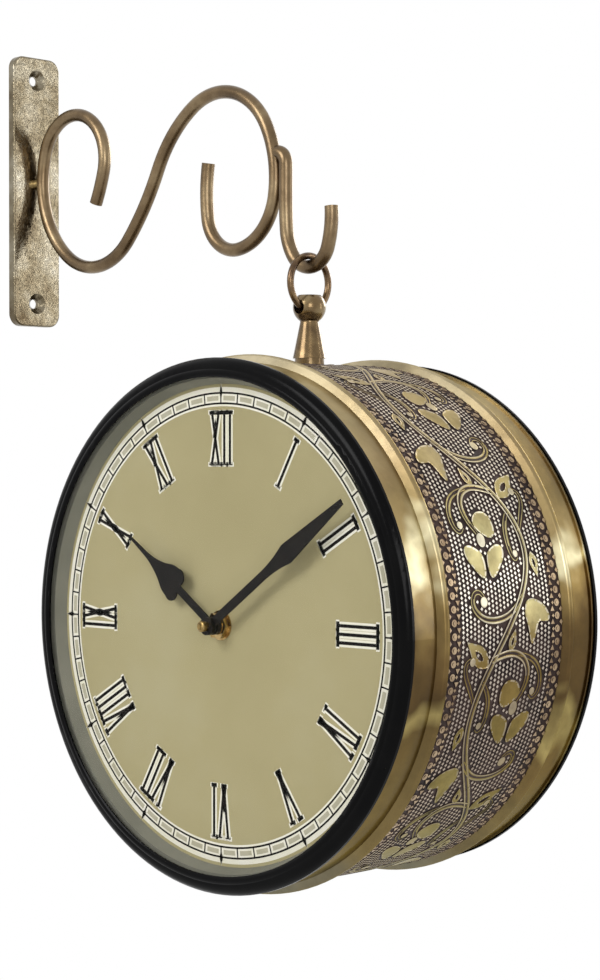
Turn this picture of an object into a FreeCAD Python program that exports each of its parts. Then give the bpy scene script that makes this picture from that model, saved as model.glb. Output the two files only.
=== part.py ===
import FreeCAD, Part
import math
import os
import Sketcher
from FreeCAD import Placement, Rotation, Vector

# A double sided station clock on a scroll bracket, in millimetres.
# Origin: centre of the wall plate's back face. +X leaves the wall, +Z is up,
# and the front dial faces -Y. The rear dial is the front one turned half round.

doc = FreeCAD.newDocument("station_clock")
sheet = doc.addObject("Spreadsheet::Sheet", "Sizes")

SIZES = {
    # wall plate and its two countersunk screw holes
    "plate_width": 28, "plate_height": 130, "plate_thick": 4, "plate_corner": 6,
    "plate_edge": 0.8, "screw_hole": 4.5, "screw_sink": 10, "screw_inset": 11,
    # bent rod, and the rivet that holds it to the plate
    "rod_dia": 6, "rod_stand": 1.5, "rivet_rise": 4, "rivet_shank": 4, "rivet_head": 7.6,
    "rivet_ball": 5.2,
    # drop hook: depth of its bottom below the plate's centre, and its straight shank
    "hook_drop": 47.2, "hook_shank": 14, "hook_top_bend": 5.2, "hook_top_turn": 88,
    # split ring
    "ring_wire": 3, "ring_outer": 26, "ring_cut": 5, "ring_cut_place": 50, "hang_gap": 0.2,
    # turned finial, measured up from the drum
    "foot_dia": 12.6, "foot_height": 2.8, "cone_dia": 14.3, "cone_height": 15.4, "neck_dia": 8,
    "ball_rise": 6.4, "ball_dia": 14.2, "ball_top": 5.2, "eye_dia": 6,
    "stud_dia": 4, "stud_room": 0.1, "stud_end": 1.4,
    "washer_dia": 10, "washer_thick": 0.8, "nut_flats": 7, "nut_height": 3.2,
    # drum: barrel, embossed band and the two collars
    "barrel_radius": 107, "barrel_wall": 1, "barrel_inset": 1,
    "band_thick": 1.6, "band_half": 35.5,
    "collar_thick": 1.5, "collar_half": 55.5, "lip_thick": 2.3, "lip_width": 1.2,
    "bead_thick": 4.2, "bead_width": 6, "bead_rise": 0.7,
    # bezel: its skirt slides in the barrel, its edge stands over the collar's lip, and its
    # face rises in two rounds from the opening, which covers the glass's rim
    "slide_gap": 0.3, "bezel_gap": 0.3, "bezel_over": 0.7, "rim_cover": 2.7,
    "skirt_tail": 1.6, "skirt_wall": 1, "bezel_side": 1.3, "bezel_height": 4.6,
    "bezel_lip": 1, "bead_drop": 0.5, "inner_width": 3.2, "inner_rise": 0.65, "outer_rise": 0.93,
    # glass, spacer, dial and the snap ring behind it
    "glass_thick": 1.8, "glass_rise": 13, "glass_room": 0.2, "spacer_wall": 3,
    "spacer_foot": 5.2, "dial_inset": 8.4, "dial_thick": 0.8, "snap_wire": 1.6, "snap_cut": 16,
    # quartz movement
    "case_side": 56, "case_depth": 15.5, "case_round": 3, "cushion_dia": 22, "cushion_thick": 1,
    "bush_dia": 7.8, "bush_seat": 2, "bush_show": 0.2, "fit_gap": 0.08, "cut_margin": 1,
    "flat_washer_dia": 12.4, "flat_washer_thick": 0.6, "bush_nut_flats": 10, "bush_nut_height": 2.4,
    "battery_dia": 14.2, "battery_length": 49.2, "nub_dia": 5.2, "nub_length": 1.3,
    "bay_drop": 17.5, "bay_room": 0.4, "bay_floor": 0.6, "contact_thick": 0.4, "contact_width": 9,
    "knob_dia": 15, "knob_height": 2.6, "knob_gap": 0.4, "grip_dia": 1.6, "grip_count": 16,
    # hands and the two arbors that carry them; a hand's outline is measured back from its tip
    "pipe_dia": 5, "arbor_dia": 3, "pipe_gap": 0.5, "cap_crown": 1.6,
    "hub_gap": 0.3, "hand_gap": 1.2, "hand_thick": 0.6, "hub_dia": 7.4,
    "hour_hub": 1.1, "minute_hub": 1.6, "cap_dia": 4.4, "cap_length": 4, "cap_round": 1.2,
    "hour_short": 28, "spike_length": 11, "throat_length": 15.5, "cheek_length": 6.5,
    "lobe_length": 5, "hour_stem": 1.7, "lobe_half": 6.9, "waist_half": 4.7, "spike_half": 0.9,
    "hour_tip": 0.4, "lobe_rise": 2.87, "cheek_rise": 0.55, "throat_rise": 0.9,
    "minute_clear": 11, "blade_length": 37, "flare_length": 18, "minute_stem": 1.9,
    "blade_half": 4.3, "minute_tip": 1.2, "flare_rise": 0.69,
    "shown_hour": 10, "shown_minutes": 9.2,
}

# bends of the cold-bent rods, in order from where each one starts: radius and turn in degrees,
# where a turn to the left is positive
BENDS = {
    "curl": [(49, -17.5), (22.3, -136.5), (23, -42), (93, -9.5)],
    "arch": [(45, 54.5), (33, 83), (130, 16.5), (63, -32), (33.5, -93), (48.5, -38), (26.5, -74),
             (17.5, -89.5), (83, -17)],
    "shank": [(11.5, -54), (23.5, -32), (210, -4)],
    "hook": [(11.5, 72), (45, 22)],
}


def write_sheet():
    """Put every size in the sheet, one row each, with its name beside it."""
    rows = dict(SIZES)
    for rod, bends in BENDS.items():
        for number, (radius, turn) in enumerate(bends, 1):
            rows[f"{rod}_radius_{number}"] = radius
            rows[f"{rod}_turn_{number}"] = turn
    for line, (name, value) in enumerate(rows.items(), 1):
        sheet.set(f"A{line}", str(value))
        sheet.setAlias(f"A{line}", name)
        sheet.set(f"B{line}", name.replace("_", " "))
    doc.recompute()


class Size:
    """A size with its worked-out value and the sheet formula that gives it."""

    def __init__(self, value, formula):
        self.value = value
        self.formula = formula

    def joined(self, other, sign, result, swap=False):
        parts = [self.formula, as_size(other).formula]
        if swap:
            parts.reverse()
        return Size(result, f"({parts[0]} {sign} {parts[1]})")

    def __add__(self, other):
        return self.joined(other, "+", self.value + as_size(other).value)

    def __sub__(self, other):
        return self.joined(other, "-", self.value - as_size(other).value)

    def __mul__(self, other):
        return self.joined(other, "*", self.value * as_size(other).value)

    def __truediv__(self, other):
        return self.joined(other, "/", self.value / as_size(other).value)

    def __rsub__(self, other):
        return self.joined(other, "-", as_size(other).value - self.value, swap=True)

    def __neg__(self):
        return Size(-self.value, f"(-1 * {self.formula})")

    def root(self):
        return Size(math.sqrt(self.value), f"sqrt({self.formula})")


def as_size(number):
    return number if isinstance(number, Size) else Size(float(number), str(number))


def size(name):
    return Size(float(getattr(sheet, name)), f"Sizes.{name}")


def bind(thing, **sizes):
    """Bind properties of an object to sheet formulas."""
    for name, value in sizes.items():
        thing.setExpression(name, as_size(value).formula)
    return thing


def origin_plane(body, role):
    return next(f for f in body.Origin.OriginFeatures if f.Role == role)


def new_sketch(body, role):
    sketch = body.newObject("Sketcher::SketchObject", "profile")
    sketch.AttachmentSupport = [(origin_plane(body, role), "")]
    sketch.MapMode = "FlatFace"
    return sketch


def arc_between(start, end, radius, left):
    """The short arc from start to end that bulges to the left or right of the way there."""
    chord = end - start
    side = Vector(-chord.y, chord.x, 0).normalize() * (1 if left else -1)
    reach = math.sqrt(max(radius ** 2 - (chord.Length / 2) ** 2, 0))
    centre = (start + end) * 0.5 - side * reach
    first, last = (end, start) if left else (start, end)
    angles = [math.atan2(p.y - centre.y, p.x - centre.x) for p in (first, last)]
    if angles[1] < angles[0]:
        angles[1] += 2 * math.pi
    return Part.ArcOfCircle(Part.Circle(centre, Vector(0, 0, 1), radius), *angles)


def pin_corner(sketch, edge, end, place):
    """Hold one sketch point at its two sheet distances from the origin."""
    for axis, across, value in (("DistanceX", -2, place[0]), ("DistanceY", -1, place[1])):
        if as_size(value).value == 0:
            sketch.addConstraint(Sketcher.Constraint("PointOnObject", edge, end, across))
            continue
        value = as_size(value)
        index = sketch.addConstraint(Sketcher.Constraint(axis, edge, end, value.value))
        sketch.setExpression(f"Constraints[{index}]", value.formula)


def draw_outline(sketch, corners):
    """Close an outline of (x, y) corners. A corner may add (radius, side) of the arc after it."""
    points = [Vector(as_size(c[0]).value, as_size(c[1]).value, 0) for c in corners]
    ends = []
    for number, corner in enumerate(corners):
        start, end = points[number], points[(number + 1) % len(points)]
        if len(corner) == 2:
            edge = sketch.addGeometry(Part.LineSegment(start, end), False)
            ends.append((edge, 1, 2))
            continue
        radius, side = as_size(corner[2]), corner[3]
        curve = arc_between(start, end, radius.value, side == "left")
        edge = sketch.addGeometry(curve, False)
        forward = (curve.StartPoint - start).Length < (curve.EndPoint - start).Length
        ends.append((edge, 1, 2) if forward else (edge, 2, 1))
        index = sketch.addConstraint(Sketcher.Constraint("Radius", edge, radius.value))
        sketch.setExpression(f"Constraints[{index}]", radius.formula)
    for number, (edge, first, last) in enumerate(ends):
        following, joint, _ = ends[(number + 1) % len(ends)]
        sketch.addConstraint(Sketcher.Constraint("Coincident", edge, last, following, joint))
        pin_corner(sketch, edge, first, corners[number])


def arc_radius(start, end, rise):
    """Radius of the arc between two corners whose middle stands this far off their chord."""
    across, along = end[0] - start[0], end[1] - start[1]
    half_chord_squared = (across * across + along * along) / 4
    return (half_chord_squared + rise * rise) / (rise * 2)


def draw_circle(sketch, place, radius):
    centre = Vector(as_size(place[0]).value, as_size(place[1]).value, 0)
    radius = as_size(radius)
    edge = sketch.addGeometry(Part.Circle(centre, Vector(0, 0, 1), radius.value), False)
    index = sketch.addConstraint(Sketcher.Constraint("Radius", edge, radius.value))
    sketch.setExpression(f"Constraints[{index}]", radius.formula)
    pin_corner(sketch, edge, 3, place)


def rectangle(low_x, high_x, low_y, high_y):
    return [(low_x, low_y), (high_x, low_y), (high_x, high_y), (low_x, high_y)]


def turned(label, place, corners, axis="V_Axis", role="XY_Plane", angle=360):
    """A turned or spun piece: its half section goes round one axis of the sketch."""
    body = doc.addObject("PartDesign::Body", label)
    sketch = new_sketch(body, role)
    draw_outline(sketch, corners)
    spin = body.newObject("PartDesign::Revolution", "spin")
    spin.Profile = sketch
    spin.ReferenceAxis = (sketch, [axis])
    bind(spin, Angle=angle)
    body.Placement = place
    return body


def plate_body(label, place, thickness, outline=None, circles=(), role="XZ_Plane"):
    """A flat piece: its outline and holes, raised by its thickness."""
    body = doc.addObject("PartDesign::Body", label)
    sketch = new_sketch(body, role)
    if outline:
        draw_outline(sketch, outline)
    for circle in circles:
        draw_circle(sketch, circle[:2], circle[2])
    pad = body.newObject("PartDesign::Pad", "raise")
    pad.Profile = sketch
    bind(pad, Length=thickness)
    body.Placement = place
    return body


def cylinder(name, radius, height, place):
    rod = bind(doc.addObject("Part::Cylinder", name), Radius=radius, Height=height)
    rod.Placement = place
    return rod


def box(name, length, width, height, place):
    block = bind(doc.addObject("Part::Box", name), Length=length, Width=width, Height=height)
    block.Placement = place
    return block


def cut(label, base, tools):
    """The base with every tool taken away."""
    group = doc.addObject("Part::MultiFuse", f"{label}_tools")
    group.Shapes = tools
    result = doc.addObject("Part::Cut", label)
    result.Base = base
    result.Tool = group if len(tools) > 1 else tools[0]
    if len(tools) == 1:
        doc.removeObject(group.Name)
    return result


def at(x=0.0, y=0.0, z=0.0):
    numbers = [as_size(n).value for n in (x, y, z)]
    return Placement(Vector(*numbers), Rotation())


ALONG_X = Placement(Vector(), Rotation(Vector(0, 1, 0), 90))
ALONG_MINUS_Y = Placement(Vector(), Rotation(Vector(1, 0, 0), 90))
pieces = {}


def keep(node, shape_object):
    """Name a finished piece of the clock."""
    shape_object.Label = node
    pieces[node] = shape_object
    return shape_object


write_sheet()


# ---------------------------------------------------------------- bracket

def bend_list(rod):
    count = len(BENDS[rod])
    names = [(f"{rod}_radius_{n}", f"{rod}_turn_{n}") for n in range(1, count + 1)]
    return [(size(radius).value, size(turn).value) for radius, turn in names]


def bent_line(start, heading, bends, straight=0.0):
    """Edges of a rod's centre line: tangent arcs in the XZ plane, then a straight run."""
    edges = []
    point = Vector(start)
    direction = Vector(heading)
    for radius, turn in bends:
        left = Vector(-direction.z, 0, direction.x) * (1 if turn > 0 else -1)
        centre = point + left * radius
        spokes = []
        for share in (0.5, 1.0):
            turn_by = Rotation(Vector(0, -1, 0), turn * share)
            spokes.append(centre + turn_by.multVec(point - centre))
        edges.append(Part.Arc(point, spokes[0], spokes[1]).toShape())
        direction = Rotation(Vector(0, -1, 0), turn).multVec(direction)
        point = spokes[1]
    if straight:
        end = point + direction * straight
        edges.append(Part.LineSegment(point, end).toShape())
        point = end
    return edges, point, direction


def rod(name, edges, start, heading, radius):
    """A round rod swept along its centre line."""
    line = doc.addObject("Part::Feature", f"{name}_line")
    line.Shape = Part.Wire(Part.__sortEdges__(edges))
    section = bind(doc.addObject("Part::Circle", f"{name}_section"), Radius=radius)
    section.Placement = Placement(start, Rotation(Vector(0, 0, 1), heading))
    sweep = doc.addObject("Part::Sweep", name)
    sweep.Sections = [section]
    sweep.Spine = (line, [f"Edge{n}" for n in range(1, len(edges) + 1)])
    sweep.Solid = True
    sweep.Frenet = False
    return sweep


rod_radius = size("rod_dia") / 2
plate_thick = size("plate_thick")
rivet_x = plate_thick + size("rod_stand") + rod_radius
rivet_z = size("rivet_rise")
rod_start = Vector(rivet_x.value, 0, rivet_z.value)

half_width = size("plate_width") / 2
half_height = size("plate_height") / 2
corner = size("plate_corner")
plate_outline = [
    (-half_width, -(half_height - corner), corner, "right"), (-(half_width - corner), -half_height),
    (half_width - corner, -half_height, corner, "right"), (half_width, -(half_height - corner)),
    (half_width, half_height - corner, corner, "right"), (half_width - corner, half_height),
    (-(half_width - corner), half_height, corner, "right"), (-half_width, half_height - corner),
]
hole_radius = size("screw_hole") / 2
screw_rise = half_height - size("screw_inset")
wall_plate = plate_body(
    "plate_blank", Placement(), plate_thick, plate_outline,
    [(0, screw_rise, hole_radius), (0, -screw_rise, hole_radius)], "YZ_Plane")
doc.recompute()


def edges_where(feature, test):
    return [f"Edge{n}" for n, edge in enumerate(feature.Shape.Edges, 1) if test(edge)]


def dress(body, kind, name, test):
    """Add a fillet or chamfer on the chosen edges of a body's last feature."""
    last = body.Tip
    feature = body.newObject(kind, name)
    feature.Base = (last, edges_where(last, test))
    body.Tip = feature
    return feature


def on_front(edge):
    return all(abs(v.X - plate_thick.value) < 1e-6 for v in edge.Vertexes)


def is_hole_rim(edge):
    curve = edge.Curve
    return on_front(edge) and isinstance(curve, Part.Circle) and (
        abs(curve.Radius - hole_radius.value) < 1e-6)


sinks = dress(wall_plate, "PartDesign::Chamfer", "screw_sinks", is_hole_rim)
bind(sinks, Size=(size("screw_sink") - size("screw_hole")) / 2)
doc.recompute()


def is_outer_rim(edge):
    middle = edge.valueAt((edge.FirstParameter + edge.LastParameter) / 2)
    to_hole = math.hypot(middle.y, abs(middle.z) - screw_rise.value)
    return on_front(edge) and to_hole > (size("screw_sink") / 2 + size("plate_edge")).value


rounding = dress(wall_plate, "PartDesign::Fillet", "soft_edge", is_outer_rim)
bind(rounding, Radius=size("plate_edge"))

shank_radius = size("rivet_shank") / 2
head_radius = size("rivet_head") / 2
rivet_hole = turned("rivet_hole", at(z=rivet_z), [
    (0, 0), (0, head_radius), (head_radius - shank_radius, shank_radius),
    (plate_thick, shank_radius), (plate_thick, 0)], "H_Axis")
keep("wall_plate", cut("plate_drilled", wall_plate, [rivet_hole]))

down = Vector(0, 0, -1)
up = Vector(0, 0, 1)
curl_edges, curl_end, curl_heading = bent_line(rod_start, up, bend_list("curl"))
arch_edges, arch_end, arch_heading = bent_line(rod_start, down, bend_list("arch"))
keep("scroll_arm", rod("scroll_rod", curl_edges + arch_edges, curl_end, curl_heading, rod_radius))
arch_reach = max(edge.BoundBox.XMax for edge in arch_edges)

ball_radius = size("rivet_ball") / 2
rivet_blank = turned("rivet_blank", at(z=rivet_z), [
    (0, 0), (0, head_radius), (head_radius - shank_radius, shank_radius),
    (plate_thick, shank_radius), (plate_thick, ball_radius),
    (rivet_x, ball_radius), (rivet_x, 0)], "H_Axis")
keep("scroll_rivet", cut("rivet_coped", rivet_blank, [pieces["scroll_arm"]]))

# the hook hangs with its shank against the arch's outer side, so its place follows the arch
shank_edges, shank_end, shank_heading = bent_line(
    Vector(), Vector(-1, 0, 0), bend_list("shank"), size("hook_shank").value)
hook_x = arch_reach + size("rod_dia").value + size("hang_gap").value - shank_end.x
hook_bottom = Vector(hook_x, 0, -size("hook_drop").value)
shank_edges, shank_end, shank_heading = bent_line(
    hook_bottom, Vector(-1, 0, 0), bend_list("shank"), size("hook_shank").value)
top_edges, top_end, top_heading = bent_line(
    shank_end, shank_heading, [(size("hook_top_bend").value, size("hook_top_turn").value)])
tip_edges, tip_end, tip_heading = bent_line(hook_bottom, Vector(1, 0, 0), bend_list("hook"))
hook_blank = rod("hook_rod", shank_edges + top_edges + tip_edges, tip_end, tip_heading, rod_radius)
keep("drop_hook", cut("hook_coped", hook_blank, [pieces["scroll_arm"]]))


# ---------------------------------------------------------------- ring and finial

wire_radius = size("ring_wire") / 2
ring_radius = size("ring_outer") / 2 - wire_radius
hang_gap = size("hang_gap")
ring_z = rod_radius - size("hook_drop") + hang_gap + wire_radius - ring_radius
ring = bind(doc.addObject("Part::Torus", "split_ring"), Radius1=ring_radius, Radius2=wire_radius,
            Angle3=360 - size("ring_cut"))
ring_turn = Rotation(Vector(1, 0, 0), 90 + size("ring_cut_place").value)
ring.Placement = Placement(
    Vector(hook_x, 0, ring_z.value), ring_turn.multiply(Rotation(Vector(0, 1, 0), 90)))
keep("hanging_ring", ring)

# the eye clears the curved wire at the mouths of the hole, where the wire stands highest
eye_radius = size("eye_dia") / 2
finial_ball = size("ball_dia") / 2
mouth = (finial_ball * finial_ball - eye_radius * eye_radius).root()
wire_at_mouth = ring_z - (ring_radius * ring_radius - mouth * mouth).root()
wire_slope = ring_radius / (ring_radius * ring_radius - mouth * mouth).root()
pivot_z = wire_at_mouth + wire_radius * wire_slope + hang_gap - eye_radius
band_radius = size("barrel_radius") + size("band_thick")
barrel_inside = size("barrel_radius") - size("barrel_wall")
cone_top = size("foot_height") + size("cone_height")
ball_middle = cone_top + size("ball_rise")
clock_z = pivot_z - ball_middle - band_radius
centre = Placement(Vector(hook_x, 0, clock_z.value), Rotation())

washer_radius = size("washer_dia") / 2
washer_top = (barrel_inside * barrel_inside - washer_radius * washer_radius).root()
nut_bottom = washer_top - size("washer_thick") - size("nut_height")
stud_radius = size("stud_dia") / 2
drum_top = at(hook_x, 0, clock_z + band_radius)
neck_radius = size("neck_dia") / 2
cone_radius = size("cone_dia") / 2
foot_radius = size("foot_dia") / 2
top_radius = (finial_ball * finial_ball - size("ball_top") * size("ball_top")).root()
ball_low = (finial_ball * finial_ball - neck_radius * neck_radius).root()
stud_low = nut_bottom - size("stud_end") - band_radius
finial_blank = turned("finial_blank", drum_top, [
    (0, stud_low), (stud_radius, stud_low), (stud_radius, 0), (foot_radius, 0),
    (foot_radius, size("foot_height")), (cone_radius, size("foot_height")),
    (neck_radius, cone_top), (neck_radius, ball_middle - ball_low, finial_ball, "right"),
    (top_radius, ball_middle + size("ball_top")), (0, ball_middle + size("ball_top"))],
    role="XZ_Plane")
eye_place = at(hook_x, finial_ball * 2, pivot_z).multiply(ALONG_MINUS_Y)
eye = cylinder("eye", eye_radius, finial_ball * 4, eye_place)
keep("hanger_finial", cut("finial_eyed", finial_blank, [eye]))

stud_hole_radius = stud_radius + size("stud_room")


def hexagon(flats):
    point = flats / math.sqrt(3)
    return [(point, 0), (point / 2, flats / 2), (-(point / 2), flats / 2),
            (-point, 0), (-(point / 2), -(flats / 2)), (point / 2, -(flats / 2))]


keep("finial_washer", plate_body(
    "washer_disc", at(hook_x, 0, clock_z + washer_top - size("washer_thick")),
    size("washer_thick"), None, [(0, 0, washer_radius), (0, 0, stud_hole_radius)], "XY_Plane"))
keep("finial_nut", plate_body(
    "nut_block", at(hook_x, 0, clock_z + nut_bottom), size("nut_height"),
    hexagon(size("nut_flats")), [(0, 0, stud_radius)], "XY_Plane"))


# ---------------------------------------------------------------- drum

def stud_drill(name):
    return cylinder(name, stud_hole_radius, band_radius, at(hook_x, 0, clock_z))


def drum_tube(label, inner, outer, half):
    blank = turned(f"{label}_tube", centre, rectangle(inner, outer, -half, half))
    return keep(label, cut(f"{label}_drilled", blank, [stud_drill(f"{label}_drill")]))


barrel_radius = size("barrel_radius")
band_half = size("band_half")
collar_half = size("collar_half")
drum_tube("drum_barrel", barrel_inside, barrel_radius, collar_half - size("barrel_inset"))
drum_tube("embossed_band", barrel_radius, band_radius, band_half)

# a collar's half section: raised outer lip, plain wide band, then the rolled bead
collar_radius = barrel_radius + size("collar_thick")
lip_radius = barrel_radius + size("lip_thick")
lip_start = collar_half - size("lip_width")
bead_top = barrel_radius + size("bead_thick")
bead_end = band_half + size("bead_width")
bead_low = (bead_top, -(band_half + size("bead_width") / 4))
bead_high = (bead_top, -(bead_end - size("bead_width") / 4))
collar_section = [
    (barrel_radius, -band_half), (collar_radius, -band_half),
    (*bead_low, arc_radius(bead_low, bead_high, size("bead_rise")), "left"),
    bead_high, (collar_radius, -bead_end),
    (collar_radius, -lip_start), (lip_radius, -lip_start), (lip_radius, -collar_half),
    (barrel_radius, -collar_half)]
HALF_TURN = Placement(Vector(), Rotation(Vector(0, 0, 1), 180))
keep("front_collar", turned("front_collar_ring", centre, collar_section))
keep("rear_collar", turned("rear_collar_ring", centre.multiply(HALF_TURN), collar_section))


# ---------------------------------------------------------------- one face of the clock

skirt_radius = barrel_inside - size("slide_gap")
skirt_inside = skirt_radius - size("skirt_wall")
bezel_radius = lip_radius + size("bezel_over")
bezel_back = collar_half + size("bezel_gap")
bezel_front = bezel_back + size("bezel_height")
opening = skirt_inside - size("rim_cover")
lip_back = bezel_front - size("bezel_lip")
dial_front = bezel_front - size("dial_inset")
dial_back = dial_front - size("dial_thick")
snap_back = dial_back - size("snap_wire")
skirt_back = snap_back - size("skirt_tail")
inner_edge = (opening, -(bezel_front - size("bead_drop")))
step = (opening + size("inner_width"), -(bezel_front - size("bead_drop")))
outer_edge = (bezel_radius, -(bezel_back + size("bezel_side")))
bezel_section = [
    (opening, -lip_back),
    (*inner_edge, arc_radius(inner_edge, step, size("inner_rise")), "right"),
    (*step, arc_radius(step, outer_edge, size("outer_rise")), "right"),
    outer_edge, (bezel_radius, -bezel_back), (skirt_radius, -bezel_back),
    (skirt_radius, -skirt_back), (skirt_inside, -skirt_back), (skirt_inside, -lip_back)]

glass_radius = skirt_inside - size("glass_room")
glass_rise = size("glass_rise")
# the dome meets the back of the bezel's lip at the opening, so its rim lies a little deeper
sphere = (glass_radius * glass_radius + glass_rise * glass_rise) / (glass_rise * 2)
rise_at_lip = (sphere * sphere - opening * opening).root() - (sphere - glass_rise)
glass_front = lip_back - rise_at_lip
glass_back = glass_front - size("glass_thick")
glass_section = [
    (0, -(glass_back + glass_rise), sphere, "right"), (glass_radius, -glass_back),
    (glass_radius, -glass_front, sphere, "left"), (0, -(glass_front + glass_rise))]

# the spacer's inner wall slopes in from the glass down to the dial
spacer_section = [
    (glass_radius - size("spacer_foot"), -dial_front), (glass_radius, -dial_front),
    (glass_radius, -glass_back), (glass_radius - size("spacer_wall"), -glass_back)]

case_front = dial_back - size("cushion_thick")
case_depth = size("case_depth")
case_back = case_front - case_depth
bush_radius = size("bush_dia") / 2
pipe_radius = size("pipe_dia") / 2
arbor_radius = size("arbor_dia") / 2
fit_gap = size("fit_gap")
bush_bore = pipe_radius + fit_gap
pipe_bore = arbor_radius + fit_gap
bush_back = case_front - size("bush_seat")
pipe_back = bush_back + fit_gap
washer_front = dial_front + size("flat_washer_thick")
bush_end = washer_front + size("bush_nut_height") + size("bush_show")
hour_hub_back = bush_end + size("hub_gap")
hour_depth = hour_hub_back + size("hour_hub")
hour_front = hour_depth + size("hand_thick")
minute_depth = hour_front + size("hand_gap")
minute_front = minute_depth + size("hand_thick")
minute_hub_front = minute_front + size("minute_hub")
cap_front = minute_hub_front + size("cap_length")
arbor_end = cap_front - size("cap_crown")
minute_length = opening - size("minute_clear")
hour_length = minute_length - size("hour_short")
knob_front = case_back - size("knob_gap")
knob_back = knob_front - size("knob_height")
hub_radius = size("hub_dia") / 2
cap_radius = size("cap_dia") / 2

minute_angle = size("shown_minutes").value * 6
hour_angle = size("shown_hour").value * 30 + size("shown_minutes").value / 2


def ring_section(inner, outer, back, front):
    """Half section of a ring between two depths from the clock's middle plane."""
    return rectangle(inner, outer, -front, -back)


def minute_outline():
    stem, blade, tip = size("minute_stem"), size("blade_half"), size("minute_tip")
    widest = minute_length - size("blade_length")
    flare = widest - size("flare_length")
    curve = arc_radius((stem, flare), (blade, widest), size("flare_rise"))
    return [
        (stem, 0), (stem, flare, curve, "left"), (blade, widest), (tip, minute_length),
        (-tip, minute_length), (-blade, widest, curve, "left"), (-stem, flare), (-stem, 0)]


def hour_outline():
    stem, lobe, waist = size("hour_stem"), size("lobe_half"), size("waist_half")
    spike, tip = size("spike_half"), size("hour_tip")
    spike_z = hour_length - size("spike_length")
    waist_z = spike_z - size("throat_length")
    lobe_z = waist_z - size("cheek_length")
    shoulder_z = lobe_z - size("lobe_length")
    under = arc_radius((stem, shoulder_z), (lobe, lobe_z), size("lobe_rise"))
    cheek = arc_radius((lobe, lobe_z), (waist, waist_z), size("cheek_rise"))
    throat = arc_radius((waist, waist_z), (spike, spike_z), size("throat_rise"))
    return [
        (stem, 0), (stem, shoulder_z, under, "right"), (lobe, lobe_z, cheek, "right"),
        (waist, waist_z, throat, "left"), (spike, spike_z), (tip, hour_length),
        (-tip, hour_length), (-spike, spike_z, throat, "left"), (-waist, waist_z, cheek, "right"),
        (-lobe, lobe_z, under, "right"), (-stem, shoulder_z), (-stem, 0)]


def hand(label, face, angle, depth, outline, hub_back, hub_front, bore):
    """A stamped hand on its collet, turned to the time that it shows."""
    turn = face.multiply(Placement(Vector(), Rotation(Vector(0, 1, 0), angle)))
    blade = plate_body(f"{label}_blade", turn.multiply(at(y=-depth)), size("hand_thick"), outline)
    collet = turned(f"{label}_collet", face, ring_section(arbor_radius / 2, hub_radius, hub_back,
                                                          hub_front))
    joined = doc.addObject("Part::Fuse", f"{label}_joined")
    joined.Base = blade
    joined.Tool = collet
    spare = size("cut_margin")
    drill = turned(f"{label}_drill", face, ring_section(0, bore, hub_back - spare,
                                                        hub_front + spare))
    return keep(label, cut(f"{label}_bored", joined, [drill]))


def movement_case(side, face):
    """Moulded case with a battery bay open at the back and a hole for the arbor."""
    half = size("case_side") / 2
    back = face.multiply(at(y=-case_back))
    body = plate_body(f"{side}_case_body", back, case_depth, rectangle(-half, half, -half, half))
    doc.recompute()
    soften = dress(body, "PartDesign::Fillet", "corners",
                   lambda edge: abs(edge.Length - case_depth.value) < 1e-6)
    bind(soften, Radius=size("case_round"))
    bore_back, bore_front = case_back - size("cut_margin"), case_front + size("cut_margin")
    bore = turned(f"{side}_case_bore", face, [
        (0, -bore_back), (pipe_bore, -bore_back), (pipe_bore, -bush_back),
        (bush_radius, -bush_back), (bush_radius, -bore_front), (0, -bore_front)])
    bay_length = size("battery_length") + size("nub_length") + size("contact_thick") * 2
    bay_width = size("battery_dia") + size("bay_room") * 2
    bay = box(f"{side}_bay", bay_length, case_depth - size("bay_floor"), bay_width, face.multiply(
        at(-(bay_length / 2), -(case_front - size("bay_floor")), -(size("bay_drop") + bay_width / 2))))
    return keep(f"{side}_movement_case", cut(f"{side}_case_cut", body, [bore, bay]))


def battery_and_contacts(side, face):
    """A dry cell in its bay, and the sprung strip at each end of it."""
    radius = size("battery_dia") / 2
    length = size("battery_length")
    bay_length = length + size("nub_length") + size("contact_thick") * 2
    depth = case_front - size("bay_floor") - size("bay_room") - radius
    start = size("contact_thick") - bay_length / 2
    cell_place = face.multiply(at(start, -depth, -size("bay_drop"))).multiply(ALONG_X)
    nub = size("nub_dia") / 2
    keep(f"{side}_battery", turned(f"{side}_cell", cell_place, [
        (0, 0), (radius, 0), (radius, length), (nub, length), (nub, length + size("nub_length")),
        (0, length + size("nub_length"))], role="XZ_Plane"))
    width = size("contact_width")
    strips = doc.addObject("Part::MultiFuse", f"{side}_strips")
    strips.Shapes = [
        box(f"{side}_strip_{number}", size("contact_thick"), width, width, face.multiply(
            at(x, -(depth + width / 2), -(size("bay_drop") + width / 2))))
        for number, x in enumerate((-(bay_length / 2), bay_length / 2 - size("contact_thick")))]
    keep(f"{side}_battery_contacts", strips)


def setting_knob(side, face):
    """Thumb wheel on the back of the arbor, with a gripped rim."""
    radius = size("knob_dia") / 2
    place = face.multiply(at(y=-knob_back))
    body = plate_body(f"{side}_knob_body", place, size("knob_height"), None,
                      [(0, 0, radius), (0, 0, arbor_radius)])
    groove = new_sketch(body, "XZ_Plane")
    draw_circle(groove, (0, radius), size("grip_dia") / 2)
    doc.recompute()
    notch = body.newObject("PartDesign::Pocket", "grip")
    notch.Profile = groove
    notch.Reversed = True
    notch.Type = "ThroughAll"
    body.Tip = notch
    doc.recompute()
    around = body.newObject("PartDesign::PolarPattern", "grips")
    around.Originals = [notch]
    around.Axis = (groove, ["N_Axis"])
    bind(around, Occurrences=size("grip_count"))
    body.Tip = around
    return keep(f"{side}_setting_knob", body)


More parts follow.
